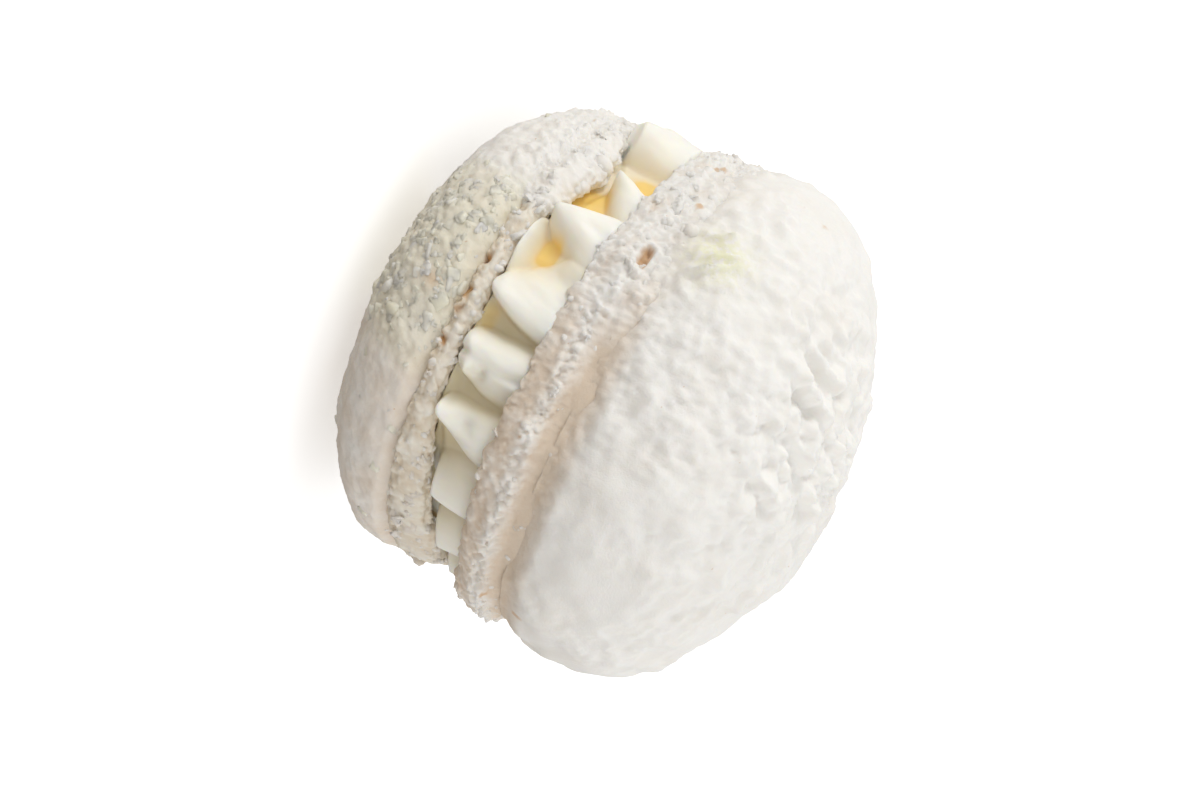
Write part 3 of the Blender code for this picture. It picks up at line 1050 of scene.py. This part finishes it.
def blank_lump(boxy):
    """A small blank of a few dozen faces: a bevelled cube or a ball."""
    blank = bmesh.new()
    if boxy:
        bmesh.ops.create_cube(blank, size=1.0)
        bmesh.ops.bevel(
            blank, geom=blank.edges[:], affect="EDGES", offset=0.16, segments=1, profile=0.5, material=-1
        )
    else:
        bmesh.ops.create_uvsphere(blank, u_segments=8, v_segments=6, radius=0.55)
    return blank


def scattered(spots, boxy, size, squash, sink, draws, paint, tone_at):
    """A bmesh of small uneven lumps, one on each spot, squashed towards the surface and painted."""
    blank = blank_lump(boxy)
    lump = bpy.data.meshes.new("lump")
    blank.to_mesh(lump)
    blank.free()
    unit = [vertex.co.copy() for vertex in lump.vertices]
    shape = bmesh.new()
    layer = shape.verts.layers.float.new(paint)
    done = 0
    for place, normal in spots:
        across = size * draws.lognormvariate(0.0, 0.32)
        upright = normal.to_track_quat("Z", "Y").to_matrix()
        turns = [draws.uniform(-0.2, 0.2), draws.uniform(-0.2, 0.2), draws.uniform(0, 2 * pi)]
        lean = Euler(turns).to_matrix()
        widths = Vector([draws.uniform(0.7, 1.25), draws.uniform(0.7, 1.25), squash])
        seed = draws.uniform(0, 50)
        for vertex, co in zip(lump.vertices, unit):
            uneven = co * widths * across * (1 + 0.4 * grain_noise(co, 0.8, seed))
            vertex.co = upright @ lean @ uneven + place - normal * across * sink
        shape.from_mesh(lump)
        shape.verts.ensure_lookup_table()
        tone = tone_at(place) * draws.uniform(0.3, 1.0)
        for vertex in shape.verts[done:]:
            vertex[layer] = tone
        done = len(shape.verts)
    bpy.data.meshes.remove(lump)
    return shape


def crumb_tone(place):
    """How much crumb colour a crumb takes: more at the right, partly as painted shade away from the key
    light, and whiter at the left.
    """
    return 0.2 + 0.5 * rightward(bearing_of(place), -30, 25)


def roughened(shape):
    """Cuts lumps finer and breaks up their surface."""
    bmesh.ops.subdivide_edges(shape, edges=shape.edges[:], cuts=1, use_grid_fill=True)
    shape.normal_update()
    for vertex in shape.verts:
        vertex.co += vertex.normal * 0.34 * MM * crumbly(vertex.co, 0.45 * MM, 71.0)


def foot_crumb_share(sizes):
    """Where loose crumbs sit on the upper foot: most on its ruffle, some along its lower edge."""
    back = Matrix.Rotation(sizes.upper_tilt, 3, "X")

    def share(place):
        own = back @ (place - Vector((0, 0, sizes.upper_base)))
        if hypot(own.x, own.y) < sizes.upper_radius - 2 * MM:
            return 0.0
        ruffle = hump(own.z - 3.1 * MM, 0.8 * MM)
        edge = hump(own.z - 0.2 * MM, 0.4 * MM)
        fewer = 1 - 0.6 * rightward(bearing_of(place), -20, 25)
        return (0.25 + ruffle + 0.7 * edge) * fewer

    return share


def lower_crumb_share(sizes):
    """Where loose crumbs sit on the lower foot: all round its rim."""

    def share(place):
        out = hypot(place.x, place.y)
        return 1.0 if out > sizes.lower_radius - 1.9 * MM and place.z > sizes.lower_dome else 0.0

    return share


def sugar_share(place):
    """Where sugar shows on the lower dome: at the front, thinning out to the sides."""
    bearing = bearing_of(place)
    front = bump_between(-30, 14, bearing, 7) + 0.03
    above_floor = smooth_step(0.3 * MM, 1.5 * MM, place.z)
    return front * above_floor * (1 - smooth_step(9.4 * MM, 10.2 * MM, place.z))


class MACARON_OT_crumbs(bpy.types.Operator):
    """Makes the loose clumps and crumbs on both feet"""

    bl_idname = "macaron.crumbs"
    bl_label = "Crumbs"

    def execute(self, context):
        sizes = context.scene.macaron_sizes
        on_upper, on_lower = foot_crumb_share(sizes), lower_crumb_share(sizes)
        jobs = [
            ("upper_clumps", "upper_foot", "upper", on_upper, sizes.clump, 90, 0.45, 0.2, 5),
            ("upper_crumbs", "upper_foot", "upper", on_upper, sizes.crumb, 190, 0.8, 0.32, 3),
            ("lower_clumps", "lower_foot", "lower", on_lower, sizes.clump, 150, 0.42, 0.2, 6),
            ("lower_crumbs", "lower_foot", "lower", on_lower, sizes.crumb, 240, 0.8, 0.32, 4),
        ]
        for name, host, part, share, size, count, squash, sink, seed in jobs:
            draws = random.Random(seed)
            spots = surface_spots(bpy.data.objects[host], share, count, draws)
            shape = scattered(spots, False, size, squash, sink, draws, "crumb", crumb_tone)
            if name.endswith("clumps"):
                roughened(shape)
            finished(shape, name, part, "almond_meringue")
        return {"FINISHED"}


class MACARON_OT_sugar(bpy.types.Operator):
    """Makes the sugar crystals on the lower dome"""

    bl_idname = "macaron.sugar"
    bl_label = "Sugar"

    def execute(self, context):
        sizes = context.scene.macaron_sizes
        draws = random.Random(8)
        spots = surface_spots(bpy.data.objects["lower_dome"], sugar_share, 460, draws)
        shape = scattered(spots, True, sizes.grain, 0.55, 0.28, draws, "tone", lambda place: 1.0)
        finished(shape, "sugar_crystals", "lower", "sugar")
        return {"FINISHED"}


# The stage


SENSOR_WIDTH = 36
LIGHT_DISTANCE = 0.6

# (name, direction, size and power) of the area lights
LIGHTS = [
    ("key", (-0.84, -0.52, 0.10), 0.16, 1.05),
    ("right_fill", (0.90, -0.10, 0.42), 0.30, 0.6),
]


def camera_places(stage):
    """The camera's target and its own place."""
    lift = stage.elevation
    up = Vector((0, sin(lift), cos(lift)))
    back = Vector((0, -cos(lift), sin(lift)))
    target = Vector((stage.target_right, 0, stage.target_height)) - up * stage.target_drop
    return target, target + back * stage.distance


def area_light(name, direction, size, energy, target):
    """A square soft light that shines on the target from a direction."""
    data = bpy.data.lights.new(name, "AREA")
    data.shape = "SQUARE"
    data.size = size
    data.energy = energy
    lamp = bpy.data.objects.new(name, data)
    bpy.context.scene.collection.objects.link(lamp)
    direction = Vector(direction)
    lamp.location = target + direction.normalized() * LIGHT_DISTANCE
    lamp.rotation_euler = direction.to_track_quat("Z", "Y").to_euler()


def pale_floor(stage):
    """A floor that is flat under the macaron and curves up far away from it."""
    outline = [(0.0, 0.0), (stage.floor_radius, 0.0)]
    for i in range(1, SWEEP_ROWS + 1):
        turn = i / SWEEP_ROWS * pi / 2
        outline.append((stage.floor_radius + stage.sweep * sin(turn), stage.sweep * (1 - cos(turn))))
    shape = turned(outline, FLOOR_STEPS)
    mesh = bpy.data.meshes.new("floor")
    shape.to_mesh(mesh)
    shape.free()
    mesh.materials.append(floor_material(stage))
    floor = bpy.data.objects.new("floor", mesh)
    bpy.context.scene.collection.objects.link(floor)
    floor.visible_diffuse = False
    floor.visible_glossy = False


def soft_daylight(stage):
    """Soft light from all around, darker from below and darkest from below at the right."""
    world = bpy.data.worlds.new("studio")
    world.use_nodes = True
    nodes, links = world.node_tree.nodes, world.node_tree.links
    direction = nodes.new("ShaderNodeTexCoord")
    split = nodes.new("ShaderNodeSeparateXYZ")
    fade, across = nodes.new("ShaderNodeMapRange"), nodes.new("ShaderNodeMapRange")
    low, tone = nodes.new("ShaderNodeMix"), nodes.new("ShaderNodeMix")
    low.data_type = tone.data_type = "RGBA"
    for socket, value in [
        (fade.inputs["From Min"], -0.15),
        (fade.inputs["From Max"], 0.25),
        (across.inputs["From Min"], -0.6),
        (across.inputs["From Max"], 0.5),
        (low.inputs[6], (*stage.from_below_left, 1.0)),
        (low.inputs[7], (*stage.from_below, 1.0)),
        (tone.inputs[7], (*stage.from_above, 1.0)),
        (nodes["Background"].inputs["Strength"], stage.daylight),
    ]:
        socket.default_value = value
    for output, socket in [
        (direction.outputs["Generated"], split.inputs[0]),
        (split.outputs["X"], across.inputs["Value"]),
        (split.outputs["Z"], fade.inputs["Value"]),
        (across.outputs[0], low.inputs[0]),
        (low.outputs[2], tone.inputs[6]),
        (fade.outputs[0], tone.inputs[0]),
        (tone.outputs[2], nodes["Background"].inputs["Color"]),
    ]:
        links.new(output, socket)
    return world


def rolled_camera(stage, place):
    """A camera at its place, rolled about its view."""
    data = bpy.data.cameras.new("camera")
    data.sensor_width = SENSOR_WIDTH
    data.lens = SENSOR_WIDTH * stage.distance / stage.frame_width
    data.clip_start = 0.01
    camera = bpy.data.objects.new("camera", data)
    bpy.context.scene.collection.objects.link(camera)
    camera.location = place
    turn = Matrix.Rotation(pi / 2 - stage.elevation, 3, "X") @ Matrix.Rotation(stage.roll, 3, "Z")
    camera.rotation_euler = turn.to_euler()
    return camera


class MACARON_OT_stage(bpy.types.Operator):
    """Makes the pale floor, the soft lights and the camera"""

    bl_idname = "macaron.stage"
    bl_label = "Stage"

    def execute(self, context):
        scene = context.scene
        stage = scene.macaron_stage
        pale_floor(stage)
        target, place = camera_places(stage)
        for light in LIGHTS:
            area_light(*light, target)
        scene.world = soft_daylight(stage)
        scene.view_settings.view_transform = "Standard"
        scene.camera = rolled_camera(stage, place)
        return {"FINISHED"}


class MACARON_PT_sidebar(bpy.types.Panel):
    """Lists the macaron's makers and sizes"""

    bl_idname = "MACARON_PT_sidebar"
    bl_label = "Macaron"
    bl_space_type = "VIEW_3D"
    bl_region_type = "UI"
    bl_category = "Macaron"

    def draw(self, context):
        for maker in MAKERS:
            self.layout.operator(maker.bl_idname)
        for name in GROUPS:
            group = getattr(context.scene, name)
            box = self.layout.box()
            for key in group.bl_rna.properties.keys():
                if key not in ("rna_type", "name"):
                    box.prop(group, key)


GROUPS = {"macaron_sizes": MacaronSizes, "macaron_colours": MacaronColours, "macaron_stage": MacaronStage}
MAKERS = (
    MACARON_OT_upper_shell,
    MACARON_OT_lower_shell,
    MACARON_OT_filling,
    MACARON_OT_crumbs,
    MACARON_OT_sugar,
    MACARON_OT_stage,
)
CLASSES = (*GROUPS.values(), *MAKERS, MACARON_PT_sidebar)


def register():
    for item in CLASSES:
        bpy.utils.register_class(item)
    for name, group in GROUPS.items():
        setattr(bpy.types.Scene, name, bpy.props.PointerProperty(type=group))


def unregister():
    for name in GROUPS:
        delattr(bpy.types.Scene, name)
    for item in reversed(CLASSES):
        bpy.utils.unregister_class(item)


def main():
    register()
    for maker in MAKERS:
        family, verb = maker.bl_idname.split(".")
        getattr(getattr(bpy.ops, family), verb)()


if __name__ == "__main__":
    main()
